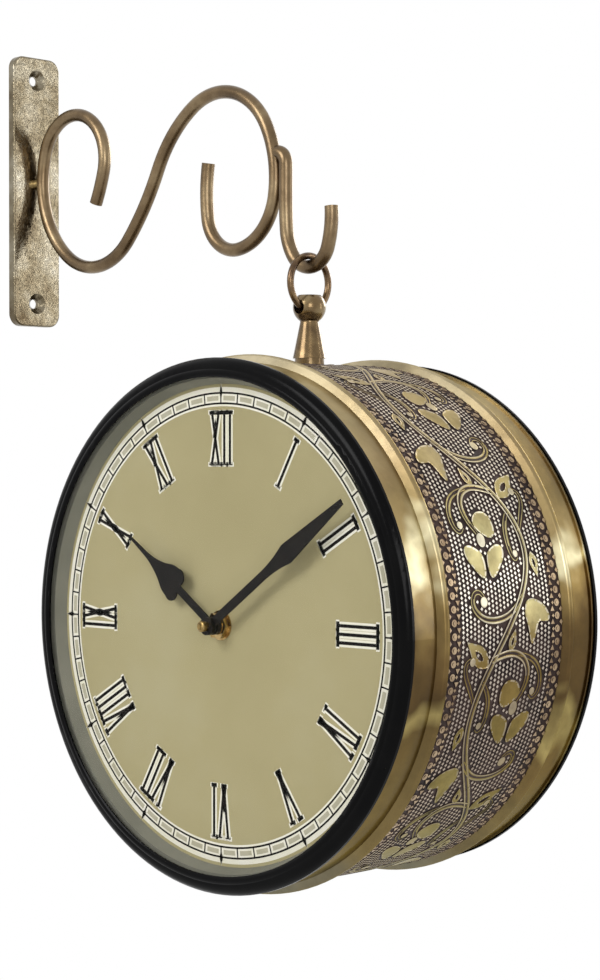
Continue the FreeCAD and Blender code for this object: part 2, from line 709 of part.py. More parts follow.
def clock_face(side, face):
    """Every piece of one face, from the bezel back to the movement."""
    keep(f"{side}_bezel", turned(f"{side}_bezel_ring", face, bezel_section))
    keep(f"{side}_glass", turned(f"{side}_glass_dome", face, glass_section))
    keep(f"{side}_spacer_ring", turned(f"{side}_spacer", face, spacer_section))
    keep(f"{side}_dial_plate", turned(f"{side}_dial", face, ring_section(
        bush_radius + fit_gap, glass_radius, dial_back, dial_front)))
    snap_place = face.multiply(Placement(Vector(), Rotation(Vector(0, 1, 0), 90)))
    keep(f"{side}_snap_ring", turned(
        f"{side}_snap", snap_place,
        ring_section(skirt_inside - size("snap_wire"), skirt_inside, snap_back, dial_back),
        angle=360 - size("snap_cut")))
    keep(f"{side}_movement_cushion", turned(f"{side}_cushion", face, ring_section(
        bush_radius, size("cushion_dia") / 2, case_front, dial_back)))
    keep(f"{side}_movement_bush", turned(f"{side}_bush", face, ring_section(
        bush_bore, bush_radius, bush_back, bush_end)))
    keep(f"{side}_bush_washer", turned(f"{side}_washer", face, ring_section(
        bush_radius, size("flat_washer_dia") / 2, dial_front, washer_front)))
    keep(f"{side}_bush_nut", plate_body(
        f"{side}_nut", face.multiply(at(y=-washer_front)), size("bush_nut_height"),
        hexagon(size("bush_nut_flats")), [(0, 0, bush_radius)]))
    movement_case(side, face)
    battery_and_contacts(side, face)
    setting_knob(side, face)
    keep(f"{side}_hour_pipe", turned(f"{side}_pipe", face, ring_section(
        pipe_bore, pipe_radius, pipe_back, minute_depth - size("pipe_gap"))))
    keep(f"{side}_minute_arbor", turned(f"{side}_arbor", face, ring_section(
        0, arbor_radius, knob_back, arbor_end)))
    hand(f"{side}_hour_hand", face, hour_angle, hour_depth, hour_outline(),
         hour_hub_back, hour_front, pipe_radius)
    hand(f"{side}_minute_hand", face, minute_angle, minute_depth, minute_outline(),
         minute_depth, minute_hub_front, arbor_radius)
    cap_round = size("cap_round")
    keep(f"{side}_hand_cap", turned(f"{side}_cap", face, [
        (0, -arbor_end), (arbor_radius, -arbor_end),
        (arbor_radius, -minute_hub_front), (cap_radius, -minute_hub_front),
        (cap_radius, -(cap_front - cap_round), cap_round, "right"),
        (cap_radius - cap_round, -cap_front), (0, -cap_front)]))


clock_face("front", centre)
clock_face("rear", centre.multiply(HALF_TURN))


# ---------------------------------------------------------------- check and write

def check_document():
    doc.recompute()
    for item in doc.Objects:
        if "Invalid" in item.State or "Error" in item.State:
            raise RuntimeError(f"{item.Name} failed: {item.State}")
    for node, item in pieces.items():
        if item.Shape.isNull() or not item.Shape.isValid() or not item.Shape.Solids:
            raise RuntimeError(f"{node} has no valid solid")


def write_parts():
    os.makedirs("parts", exist_ok=True)
    for node, item in pieces.items():
        item.Shape.exportStep(os.path.join("parts", f"{node}.step"))
        solids = item.Shape.Solids
        print(node, len(solids), "solid", round(item.Shape.Volume / 1000, 3), "cm3")


check_document()
write_parts()
print("hook bottom", tuple(round(n, 4) for n in hook_bottom))
print("ring centre z", round(ring_z.value, 4), "eye z", round(pivot_z.value, 4))
print("clock centre x", round(hook_x, 4), "z", round(clock_z.value, 4))
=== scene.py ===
import math
import bmesh
import bpy
from mathutils import Matrix, Vector


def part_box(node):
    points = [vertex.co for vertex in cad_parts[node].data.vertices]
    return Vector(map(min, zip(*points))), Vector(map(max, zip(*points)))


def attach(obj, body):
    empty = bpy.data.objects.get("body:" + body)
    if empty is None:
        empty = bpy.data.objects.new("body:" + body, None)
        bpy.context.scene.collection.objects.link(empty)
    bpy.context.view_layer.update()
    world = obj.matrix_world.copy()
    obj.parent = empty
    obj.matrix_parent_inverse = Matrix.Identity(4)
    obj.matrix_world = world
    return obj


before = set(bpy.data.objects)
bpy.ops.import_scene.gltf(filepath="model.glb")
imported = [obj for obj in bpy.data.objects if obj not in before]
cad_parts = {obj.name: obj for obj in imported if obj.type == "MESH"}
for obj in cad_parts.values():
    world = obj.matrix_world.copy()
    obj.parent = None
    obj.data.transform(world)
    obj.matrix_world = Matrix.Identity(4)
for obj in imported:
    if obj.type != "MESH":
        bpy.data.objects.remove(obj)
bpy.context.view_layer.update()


# ---------------------------------------------------------------- studio
# A pale floor well below the hanging clock, plain soft lamps and a white surround. The camera
# stands where the photographer stood, to the right of the front dial and just above its middle.

def tone(red, green, blue):
    """A colour written as it looks on a screen, for a shader socket."""
    linear = []
    for value in (red, green, blue):
        share = value / 255
        linear.append(share / 12.92 if share <= 0.04045 else ((share + 0.055) / 1.055) ** 2.4)
    return (*linear, 1.0)


def deselect():
    bpy.ops.object.select_all(action="DESELECT")


def area_lamp(name, place, target, width, height, power):
    bpy.ops.object.light_add(type="AREA", location=place)
    lamp = bpy.context.object
    lamp.name = name
    lamp.data.shape = "RECTANGLE"
    lamp.data.size, lamp.data.size_y = width, height
    lamp.data.energy = power
    lamp.rotation_euler = (Vector(target) - Vector(place)).to_track_quat("-Z", "Y").to_euler()


def background_ray(nodes, links):
    """One where a ray from the camera, a metal or a glass looks at the surround."""
    path = nodes.new("ShaderNodeLightPath")
    seen = nodes.new("ShaderNodeMath")
    seen.operation = "MAXIMUM"
    links.new(path.outputs["Is Camera Ray"], seen.inputs[0])
    links.new(path.outputs["Is Glossy Ray"], seen.inputs[1])
    both = nodes.new("ShaderNodeMath")
    both.operation = "MAXIMUM"
    links.new(seen.outputs[0], both.inputs[0])
    links.new(path.outputs["Is Transmission Ray"], both.inputs[1])
    return both.outputs[0]


drum_low, drum_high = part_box("drum_barrel")
drum_centre = (drum_low + drum_high) / 2

FLOOR_DROP, FLOOR_SIZE = 0.55, 12
deselect()
bpy.ops.mesh.primitive_grid_add(x_subdivisions=8, y_subdivisions=8, size=FLOOR_SIZE,
                                location=(0, 0, drum_low.z - FLOOR_DROP))
floor = bpy.context.object
floor.name = "studio_floor"
floor_paint = bpy.data.materials.new("floor_paint")
floor_paint.use_nodes = True
nodes, links = floor_paint.node_tree.nodes, floor_paint.node_tree.links
nodes["Principled BSDF"].inputs["Base Color"].default_value = tone(238, 238, 236)
nodes["Principled BSDF"].inputs["Roughness"].default_value = 0.7
glow = nodes.new("ShaderNodeEmission")
glow.inputs["Strength"].default_value = 1.0
lit = nodes.new("ShaderNodeMixShader")
links.new(background_ray(nodes, links), lit.inputs[0])
links.new(nodes["Principled BSDF"].outputs[0], lit.inputs[1])
links.new(glow.outputs[0], lit.inputs[2])
links.new(lit.outputs[0], nodes["Material Output"].inputs["Surface"])
floor.data.materials.append(floor_paint)

world = bpy.data.worlds.new("studio_surround")
world.use_nodes = True
bpy.context.scene.world = world
nodes, links = world.node_tree.nodes, world.node_tree.links
fill_light = nodes["Background"]
fill_light.inputs["Color"].default_value = tone(250, 248, 244)
fill_light.inputs["Strength"].default_value = 0.42
white = nodes.new("ShaderNodeBackground")
white.inputs["Color"].default_value = (1, 1, 1, 1)
white.inputs["Strength"].default_value = 1.0
surround = nodes.new("ShaderNodeMixShader")
links.new(background_ray(nodes, links), surround.inputs[0])
links.new(fill_light.outputs[0], surround.inputs[1])
links.new(white.outputs[0], surround.inputs[2])
links.new(surround.outputs[0], nodes["World Output"].inputs["Surface"])

# each lamp's place from the drum's middle, its width and height, and its power
for name, place, width, height, power in (
        ("key_lamp", (-0.35, -1.5, 0.9), 0.9, 0.7, 14),
        ("camera_side_lamp", (1.5, -1.2, 0.5), 0.7, 0.7, 8),
        ("strip_lamp", (1.1, 1.05, 0.3), 0.16, 0.7, 2),
        ("back_lamp", (-0.2, 1.6, 0.6), 0.8, 0.6, 8)):
    area_lamp(name, drum_centre + Vector(place), drum_centre, width, height, power)

SHOT_AZIMUTH, SHOT_ELEVATION = math.radians(44.56), math.radians(0.79)
SHOT_PLACE = Vector((0.66663, -0.68270, 0.06830))
FOCAL_PIXELS, PICTURE_HEIGHT, SENSOR = 2230, 980, 36
bpy.ops.object.camera_add(location=drum_centre + SHOT_PLACE)
camera = bpy.context.object
camera.rotation_euler = (math.pi / 2 - SHOT_ELEVATION, 0, SHOT_AZIMUTH)
camera.data.sensor_width = SENSOR
camera.data.lens = FOCAL_PIXELS * SENSOR / PICTURE_HEIGHT
camera.data.clip_start = 0.01
bpy.context.scene.camera = camera
bpy.context.scene.view_settings.view_transform = "Standard"


# ---------------------------------------------------------------- wall plate
# A strip of brass sheet with rounded corners, hammered all over and lacquered pale. Two
# countersunk holes take the wall screws.

def new_finish(name):
    """A material with its shader and the object's own coordinates."""
    finish = bpy.data.materials.new(name)
    finish.use_nodes = True
    nodes, links = finish.node_tree.nodes, finish.node_tree.links
    place = nodes.new("ShaderNodeTexCoord").outputs["Object"]
    return finish, nodes, links, nodes["Principled BSDF"], place


def noise(nodes, links, place, scale, detail=4.0, rough=0.6):
    """A cloudy value from 0 to 1; a larger scale gives smaller clouds."""
    cloud = nodes.new("ShaderNodeTexNoise")
    cloud.inputs["Scale"].default_value = scale
    cloud.inputs["Detail"].default_value = detail
    cloud.inputs["Roughness"].default_value = rough
    links.new(place, cloud.inputs["Vector"])
    return cloud.outputs["Fac"]


def ramp(nodes, links, value, stops):
    """Tones along a value: stops are (position, (red, green, blue))."""
    band = nodes.new("ShaderNodeValToRGB")
    while len(band.color_ramp.elements) < len(stops):
        band.color_ramp.elements.new(0.5)
    for element, (position, colour) in zip(band.color_ramp.elements, stops):
        element.position = position
        element.color = tone(*colour)
    links.new(value, band.inputs[0])
    return band.outputs["Color"]


def span(nodes, links, value, low, high, start=0.3, end=0.7):
    """A value between start and end, spread over low to high."""
    limits = nodes.new("ShaderNodeMapRange")
    limits.inputs["From Min"].default_value = start
    limits.inputs["From Max"].default_value = end
    limits.inputs["To Min"].default_value = low
    limits.inputs["To Max"].default_value = high
    links.new(value, limits.inputs["Value"])
    return limits.outputs["Result"]


def bump(nodes, links, height, depth, shader, under=None):
    """Relief of a depth in metres on the shader, over the relief that lies under it."""
    relief = nodes.new("ShaderNodeBump")
    relief.inputs["Strength"].default_value = 1.0
    relief.inputs["Distance"].default_value = depth
    links.new(height, relief.inputs["Height"])
    if under:
        links.new(under, relief.inputs["Normal"])
    links.new(relief.outputs["Normal"], shader.inputs["Normal"])
    return relief.outputs["Normal"]


def lathe_place(nodes, links, place, middle, axis):
    """Coordinates that run along a turned piece and out from its axis, for tool lines."""
    shift = nodes.new("ShaderNodeVectorMath")
    shift.operation = "SUBTRACT"
    shift.inputs[1].default_value = middle
    links.new(place, shift.inputs[0])
    flat = nodes.new("ShaderNodeVectorMath")
    flat.operation = "MULTIPLY"
    flat.inputs[1].default_value = tuple(0 if letter == axis else 1 for letter in "XYZ")
    links.new(shift.outputs[0], flat.inputs[0])
    out = nodes.new("ShaderNodeVectorMath")
    out.operation = "LENGTH"
    links.new(flat.outputs[0], out.inputs[0])
    parts = nodes.new("ShaderNodeSeparateXYZ")
    links.new(shift.outputs[0], parts.inputs[0])
    joined = nodes.new("ShaderNodeCombineXYZ")
    links.new(out.outputs["Value"], joined.inputs["X"])
    links.new(parts.outputs[axis], joined.inputs["Y"])
    return joined.outputs[0]


SKIN_SCALE, SKIN_DEPTH = 2400, 0.0000015
TOOL_LINE_SCALE, TOOL_LINE_DEPTH = 1800, 0.000015


def aged_metal(name, tones, patch, smooth, dent=0.0, dent_scale=300, turned=None, metallic=1.0,
               lacquer=0.0):
    """Metal in patches of tarnish: tones from dark to light, and its range of roughness.

    A dent is a depth of hammering, and turned is the middle and the axis of a turned piece.
    """
    finish, nodes, links, shader, place = new_finish(name)
    shader.inputs["Metallic"].default_value = metallic
    shader.inputs["Coat Weight"].default_value = lacquer
    shader.inputs["Coat Roughness"].default_value = 0.15
    cloud = noise(nodes, links, place, patch, 6)
    links.new(ramp(nodes, links, cloud, tones), shader.inputs["Base Color"])
    wear = noise(nodes, links, place, patch * 7, 5, 0.7)
    links.new(span(nodes, links, wear, *smooth), shader.inputs["Roughness"])
    skin = bump(nodes, links, noise(nodes, links, place, SKIN_SCALE, 2), SKIN_DEPTH, shader)
    if dent:
        skin = bump(nodes, links, noise(nodes, links, place, dent_scale, 3), dent, shader, skin)
    if turned:
        along = lathe_place(nodes, links, place, *turned)
        lines = noise(nodes, links, along, TOOL_LINE_SCALE, 3, 0.75)
        bump(nodes, links, lines, TOOL_LINE_DEPTH, shader, skin)
    return finish


def coat(finish, *names):
    """Give CAD nodes a finish in their own material slots."""
    for name in names:
        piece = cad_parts[name]
        if not piece.material_slots:
            piece.data.materials.append(finish)
        for slot in piece.material_slots:
            slot.material = finish


plate_brass = aged_metal(
    "hammered_plate_brass",
    [(0.3, (84, 72, 54)), (0.45, (116, 106, 86)), (0.58, (140, 132, 114)),
     (0.75, (160, 155, 142))], 60, (0.12, 0.3), dent=0.0004)
coat(plate_brass, "wall_plate")


# ---------------------------------------------------------------- scroll arm, rivet and hook
# Brass rod, cold bent, with the brown of old lacquer and lighter rubbed stretches. The rivet is
# turned brass; the hook's cut end is brazed to the arch.

rod_brass = aged_metal(
    "lacquered_rod_brass",
    [(0.3, (82, 65, 44)), (0.5, (116, 97, 71)), (0.68, (148, 130, 100))],
    38, (0.26, 0.4), dent=0.0001, dent_scale=120, lacquer=0.2)
coat(rod_brass, "scroll_arm", "drop_hook")
rivet_brass = aged_metal(
    "rubbed_rivet_brass", [(0.35, (170, 146, 100)), (0.6, (220, 200, 156))], 160, (0.15, 0.28))
coat(rivet_brass, "scroll_rivet")


# ---------------------------------------------------------------- ring and finial
# A split ring of hard-drawn brass wire, and a finial turned from bar, whose tool lines still show
# on the cone. Its washer and nut are zinc-plated steel, inside the drum.

ring_brass = aged_metal(
    "drawn_ring_brass", [(0.35, (72, 54, 38)), (0.5, (102, 80, 56)), (0.7, (138, 114, 80))],
    120, (0.2, 0.36), lacquer=0.3)
coat(ring_brass, "hanging_ring")
finial_low, finial_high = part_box("hanger_finial")
turned_brass = aged_metal(
    "turned_finial_brass", [(0.3, (78, 61, 40)), (0.5, (110, 90, 60)), (0.7, (144, 126, 92))],
    90, (0.18, 0.32), lacquer=0.3, turned=(tuple((finial_low + finial_high) / 2), "Z"))
coat(turned_brass, "hanger_finial")
zinc_steel = aged_metal(
    "zinc_plated_steel", [(0.4, (150, 150, 146)), (0.6, (182, 184, 182))], 300, (0.3, 0.45))
coat(zinc_steel, "finial_washer", "finial_nut")


# ---------------------------------------------------------------- drum and collars
# The barrel is rolled steel sheet. The two collars over its ends are spun from brass sheet, with
# a rolled bead against the band and a raised lip behind the bezel.

barrel_steel = aged_metal(
    "rolled_barrel_steel", [(0.35, (92, 90, 86)), (0.65, (128, 126, 120))], 30, (0.4, 0.6),
    turned=(tuple(drum_centre), "Y"))
coat(barrel_steel, "drum_barrel")


WAVER = 0.03


def painted_light_round_drum(nodes, links, place, stops):
    """Painted light and shade round the drum: stops are (degrees up from +X, tone).

    The stretches waver, by a share of a turn, so that no tone ends on a straight line.
    """
    shift = nodes.new("ShaderNodeVectorMath")
    shift.operation = "SUBTRACT"
    shift.inputs[1].default_value = tuple(drum_centre)
    links.new(place, shift.inputs[0])
    parts = nodes.new("ShaderNodeSeparateXYZ")
    links.new(shift.outputs[0], parts.inputs[0])
    angle = nodes.new("ShaderNodeMath")
    angle.operation = "ARCTAN2"
    links.new(parts.outputs["Z"], angle.inputs[0])
    links.new(parts.outputs["X"], angle.inputs[1])
    share = span(nodes, links, angle.outputs[0], 0.0, 1.0, -math.pi, math.pi)
    drift = span(nodes, links, noise(nodes, links, place, 22, 3), -WAVER, WAVER)
    total = nodes.new("ShaderNodeMath")
    links.new(share, total.inputs[0])
    links.new(drift, total.inputs[1])
    return ramp(nodes, links, total.outputs[0],
                [((degrees + 180) / 360, colour) for degrees, colour in stops])


def drum_metal_with_painted_light(name, stops, patch, depth, smooth):
    """Spun or rubbed brass with broad stretches of painted light and painted shade round the
    drum.

    Smaller patches darken it, by up to a depth out of 255.
    """
    finish = aged_metal(name, [(0.3, (255 - depth,) * 3), (0.62, (255, 255, 255))], patch, smooth,
                        lacquer=0.25)
    nodes, links = finish.node_tree.nodes, finish.node_tree.links
    shader = nodes["Principled BSDF"]
    place = nodes.new("ShaderNodeTexCoord").outputs["Object"]
    # the painted light and shade round the drum, multiplied into the tarnish patches
    painted_light_and_tarnish = nodes.new("ShaderNodeMix")
    painted_light_and_tarnish.data_type = "RGBA"
    painted_light_and_tarnish.blend_type = "MULTIPLY"
    painted_light_and_tarnish.inputs["Factor"].default_value = 1.0
    links.new(painted_light_round_drum(nodes, links, place, stops), painted_light_and_tarnish.inputs["A"])
    links.new(shader.inputs["Base Color"].links[0].from_socket, painted_light_and_tarnish.inputs["B"])
    links.new(painted_light_and_tarnish.outputs["Result"], shader.inputs["Base Color"])
    shader.inputs["Specular Tint"].default_value = tone(208, 194, 156)
    return finish


# the collars' tones round the drum are painted light: a bright painted highlight streak near 15
# degrees, painted dark reflections just below it, and a lighter top
collar_brass = drum_metal_with_painted_light("spun_collar_brass_painted_light", [
    (-170, (150, 132, 90)), (-110, (136, 124, 96)), (-78, (120, 116, 98)), (-48, (124, 107, 66)),
    (-27, (112, 91, 50)), (-20, (170, 152, 94)), (-13, (86, 66, 34)), (-2, (100, 78, 42)),
    (8, (144, 121, 72)), (15, (236, 226, 184)), (22, (158, 137, 92)), (40, (154, 133, 94)),
    (66, (184, 169, 134)), (95, (196, 184, 154)), (130, (150, 132, 90))],
    45, 46, (0.32, 0.44))
coat(collar_brass, "front_collar", "rear_collar")


# ---------------------------------------------------------------- embossed band
# Thin brass strip, embossed flat with a running vine, then bent round the barrel. The ground is
# left dark in the finishing, and the raised work is rubbed bright. It is drawn flat here, with
# its length along X and its face up, and bent round like the real strip.

MM = 0.001
band_low, band_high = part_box("embossed_band")
BAND_RADIUS = (band_high.x - band_low.x) / 2
REPEATS = 5
UNIT = 2 * math.pi * BAND_RADIUS / REPEATS
HALF = UNIT / 2
SUNK = 0.3 * MM
VINE_RISE, STEM_HALF = 0.45 * MM, 1.75 * MM
WAVE = 16.5 * MM


def curve_piece(name, flat=True):
    """An empty curve: a filled flat outline, or a line in space."""
    data = bpy.data.curves.new(name, "CURVE")
    data.dimensions = "2D" if flat else "3D"
    data.fill_mode = "BOTH" if flat else "FULL"
    piece = bpy.data.objects.new(name, data)
    bpy.context.collection.objects.link(piece)
    return piece


def add_spline(piece, points, closed, weights=None, steps=6):
    """One smooth line of (x, y) points in millimetres."""
    spline = piece.data.splines.new("NURBS")
    spline.points.add(len(points) - 1)
    for number, (x, y) in enumerate(points):
        spline.points[number].co = (x * MM, y * MM, 0, 1)
        spline.points[number].radius = weights[number] if weights else 1.0
    spline.use_cyclic_u = closed
    spline.order_u = 4 if closed else 3
    spline.use_endpoint_u = not closed
    spline.resolution_u = steps


def as_mesh(piece):
    """Turn a curve into a closed mesh whose faces point outwards."""
    deselect()
    bpy.context.view_layer.objects.active = piece
    piece.select_set(True)
    bpy.ops.object.convert(target="MESH")
    piece = bpy.context.object
    bpy.ops.object.mode_set(mode="EDIT")
    bpy.ops.mesh.select_all(action="SELECT")
    bpy.ops.mesh.remove_doubles(threshold=0.00001)
    bpy.ops.mesh.normals_make_consistent(inside=False)
    bpy.ops.object.mode_set(mode="OBJECT")
    return piece


def join(pieces, name):
    deselect()
    for piece in pieces:
        piece.select_set(True)
    bpy.context.view_layer.objects.active = pieces[0]
    bpy.ops.object.join()
    pieces[0].name = name
    return pieces[0]


def place_points(points, x, y, angle, size=1.0):
    """An outline turned by degrees and scaled, then moved to its place on the strip."""
    turn = math.radians(angle)
    return [(x + size * (a * math.cos(turn) - b * math.sin(turn)),
             y + size * (a * math.sin(turn) + b * math.cos(turn))) for a, b in points]


def raised_shape(name, points, hole, rim, sink):
    """A closed outline embossed out of the strip, with a rim round its sunk or raised middle."""
    piece = curve_piece(name)
    add_spline(piece, points, True)
    if hole:
        add_spline(piece, hole, True)
    piece.data.extrude = (VINE_RISE + SUNK) / 2
    piece = as_mesh(piece)
    for vertex in piece.data.vertices:
        vertex.co.z += (VINE_RISE - SUNK) / 2
    bpy.ops.object.mode_set(mode="EDIT")
    bpy.ops.mesh.select_all(action="DESELECT")
    bpy.ops.object.mode_set(mode="OBJECT")
    for face in piece.data.polygons:
        face.select = face.normal.z > 0.9
    bpy.ops.object.mode_set(mode="EDIT")
    bpy.ops.mesh.select_mode(type="FACE")
    bpy.ops.mesh.inset(thickness=rim * MM, depth=-sink * MM)
    bpy.ops.object.mode_set(mode="OBJECT")
    return piece


stem_section = curve_piece("stem_section")
stem_section.data.fill_mode = "NONE"
section_line = stem_section.data.splines.new("POLY")
TWIN_RIDGES = [(-1, -0.7), (-0.85, 1), (-0.5, 1), (-0.3, 0.35), (0.3, 0.35), (0.5, 1), (0.85, 1),
               (1, -0.7)]
section_line.points.add(len(TWIN_RIDGES) - 1)
for number, (across, rise) in enumerate(TWIN_RIDGES):
    section_line.points[number].co = (across * STEM_HALF, rise * VINE_RISE, 0, 1)
section_line.use_cyclic_u = True


def stem(name, points, weights=None):
    """A double-ridged stem along a line, that may taper."""
    piece = curve_piece(name, flat=False)
    piece.data.twist_mode = "Z_UP"
    piece.data.bevel_mode = "OBJECT"
    piece.data.bevel_object = stem_section
    piece.data.use_fill_caps = True
    add_spline(piece, points, False, weights, steps=8)
    return as_mesh(piece)


# outlines of the raised shapes and lines of the stems, in millimetres on the flat strip
PETAL = [(5.7, 0.7), (12.6, 0.6), (15.8, 1.8), (14.8, 4.8), (10.7, 8.4), (7.2, 11.6), (3.4, 12.4),
         (1.2, 9.0), (3.4, 4.2)]
SHIELD = [(2.9, -2.4), (4.2, -5.8), (8, -6.6), (12, -4.2), (14.2, 0), (12, 4.2), (8, 6.6),
          (4.2, 5.8), (2.9, 2.4)]
EYE = [(3.2, 0), (2.3, 1.9), (0, 2.6), (-2.3, 1.9), (-3.2, 0), (-2.3, -1.9), (0, -2.6),
       (2.3, -1.9)]
LEAF = [(0, 0), (0, 0), (3.2, 3.4), (8, 4.6), (13, 2.2), (17.5, 0), (17.5, 0), (13, -2.2),
        (8, -4.6), (3.2, -3.4)]
SLIT = [(4.0, 0), (6.6, 1.3), (8.6, 1.2), (12.0, 0), (8.6, -1.2), (6.6, -1.3)]
BUD = [(0, -1.4), (3, -5.0), (8, -6.4), (13.5, -10.2), (15.2, -9.4), (12.2, -3.0), (10.4, 0.2),
       (14.6, 2.4), (16.0, 5.4), (11.5, 7.2), (6, 6.2), (2, 3.8), (0, 1.4)]
BALL = [(2.2, 0), (1.1, 1.9), (-1.1, 1.9), (-2.2, 0), (-1.1, -1.9), (1.1, -1.9)]
STEMS = {
    "flower_stem": ([(-23.5, 8.5), (-26.6, -1), (-24.4, -10.4), (-18.4, -14.8), (-12, -14),
                     (-8, -11.4), (-5.6, -9.6)], [0.9, 1.0, 1.0, 0.9, 0.8, 0.7, 0.55]),
    "low_tendril": ([(-25.4, -7.5), (-23.6, -16.5), (-17, -22.8), (-9.4, -23.4), (-5.6, -19.6),
                     (-8.4, -17.6)], [0.5, 0.8, 0.8, 0.7, 0.6, 0.5]),
    "long_tendril": ([(19.5, 11.5), (26, 5), (29.2, -4), (28.6, -14), (23.6, -20.4),
                      (17.8, -19.4), (17.4, -14.4), (20.6, -12.8)],
                     [0.6, 0.95, 0.95, 0.9, 0.8, 0.7, 0.6, 0.5]),
    "inner_tendril": ([(-15, 13), (-11, 9), (-4, 6.8), (3, 7.4), (6.2, 10.2), (3.4, 11.6)],
                      [0.5, 0.8, 0.8, 0.7, 0.6, 0.45]),
    "top_tendril": ([(-6, 16), (-13, 20.5), (-19, 24.4), (-24, 24.2), (-24.6, 20.6)],
                    [0.5, 0.75, 0.7, 0.6, 0.5])}
FLOWER = (-3.0, -8.8)
WIDE_RIM, FINE_RIM, BALL_RIM = 0.75, 0.5, 0.4
SINK, CROWN = 0.12, -0.1
# each raised shape: outline, slit, place, degrees, size, rim, and how far its middle is sunk
RAISED = [
    ("petal", PETAL, None, FLOWER, 0, 1, WIDE_RIM, SINK),
    ("petal", [(x, -y) for x, y in PETAL], None, FLOWER, 0, 1, WIDE_RIM, SINK),
    ("lower_petal", SHIELD, None, FLOWER, 147, 1, WIDE_RIM, SINK),
    ("flower_eye", EYE, None, FLOWER, 0, 1, FINE_RIM, CROWN),
    ("leaf", LEAF, SLIT, (-21, 10.6), 128, 1, FINE_RIM, SINK),
    ("small_leaf", LEAF, SLIT, (2.4, 19.8), 10, 0.62, FINE_RIM, SINK),
    ("low_leaf", LEAF, SLIT, (-26.4, -2), 200, 0.55, FINE_RIM, SINK),
    ("bud", BUD, None, (22.4, 12.6), 44, 1, WIDE_RIM, SINK),
    ("low_ball", BALL, None, (-9.4, -18.8), 0, 0.85, BALL_RIM, CROWN),
    ("tendril_ball", BALL, None, (21.6, -13.4), 0, 1.15, BALL_RIM, CROWN),
    ("inner_ball", BALL, None, (3.0, 10.2), 0, 0.8, BALL_RIM, CROWN),
    ("top_ball", BALL, None, (-23.6, 20.4), 0, 0.9, BALL_RIM, CROWN)]

half_mm, wave_mm = HALF / MM, WAVE / MM
main_line = [(half_mm * n / 12, wave_mm * math.cos(math.pi * n / 12)) for n in range(-6, 7)]
motif = [stem("main_stem", main_line)]
for name, (points, weights) in STEMS.items():
    motif.append(stem(name, points, weights))
for name, outline, slit, (x, y), degrees, size, rim, sink in RAISED:
    hole = place_points(slit, x, y, degrees, size) if slit else None
    motif.append(raised_shape(name, place_points(outline, x, y, degrees, size), hole, rim, sink))
vine = join(motif, "band_vine")

# the other half of a repeat is the same motif, upside down
deselect()
vine.select_set(True)
bpy.context.view_layer.objects.active = vine
bpy.ops.object.duplicate()
mirrored = bpy.context.object
for vertex in mirrored.data.vertices:
    vertex.co.y = -vertex.co.y
    vertex.co.x += HALF
bpy.ops.object.mode_set(mode="EDIT")
bpy.ops.mesh.select_all(action="SELECT")
bpy.ops.mesh.normals_make_consistent(inside=False)
bpy.ops.object.mode_set(mode="OBJECT")
vine = join([vine, mirrored], "band_vine")

# cuts across the strip, so that it bends smoothly
CUT_STEP = 3 * MM
reach = [vertex.co.x for vertex in vine.data.vertices]
bpy.ops.object.mode_set(mode="EDIT")
cut_place = min(reach) + CUT_STEP
while cut_place < max(reach):
    bpy.ops.mesh.select_all(action="SELECT")
    bpy.ops.mesh.bisect(plane_co=(cut_place, 0, 0), plane_no=(1, 0, 0))
    cut_place += CUT_STEP
bpy.ops.object.mode_set(mode="OBJECT")


def apply_modifier(piece, kind, **settings):
    """Add one modifier with its settings and apply it."""
    deselect()
    piece.select_set(True)
    bpy.context.view_layer.objects.active = piece
    modifier = piece.modifiers.new(kind.lower(), kind)
    for key, value in settings.items():
        setattr(modifier, key, value)
    bpy.ops.object.modifier_apply(modifier=modifier.name)


def repeat(piece, step, count):
    """Copies of a flat pattern along the strip, the whole centred on X = 0."""
    apply_modifier(piece, "ARRAY", count=count, use_relative_offset=False,
                   use_constant_offset=True, constant_offset_displace=(step, 0, 0))
    middle = step * (count - 1) / 2
    for vertex in piece.data.vertices:
        vertex.co.x -= middle


def bend_round(piece):
    """Bend a flat strip round the barrel, its ends meeting under the drum."""
    stand = Matrix.Rotation(-math.pi / 2, 4, "Y")
    piece.data.transform(stand)
    heights = [vertex.co.z for vertex in piece.data.vertices]
    apply_modifier(piece, "SIMPLE_DEFORM", deform_method="BEND", deform_axis="Y",
                   angle=(max(heights) - min(heights)) / BAND_RADIUS)
    lift = Matrix.Translation(drum_centre) @ Matrix.Rotation(math.pi / 2, 4, "Y")
    piece.data.transform(lift @ Matrix.Translation((-BAND_RADIUS, 0, 0)))
    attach(piece, "clock")


FACING_OUT = 0.6


def two_tones(piece, bright, dark, height, field=None, field_top=0.0):
    """Rubbed tops and dark flanks, by each face's height; lower middles may have a third tone."""
    piece.data.materials.clear()
    for finish in (bright, dark, field or bright):
        piece.data.materials.append(finish)
    for face in piece.data.polygons:
        if face.normal.z < FACING_OUT or face.center.z < height:
            face.material_index = 1
        elif field and face.center.z < field_top:
            face.material_index = 2
        else:
            face.material_index = 0


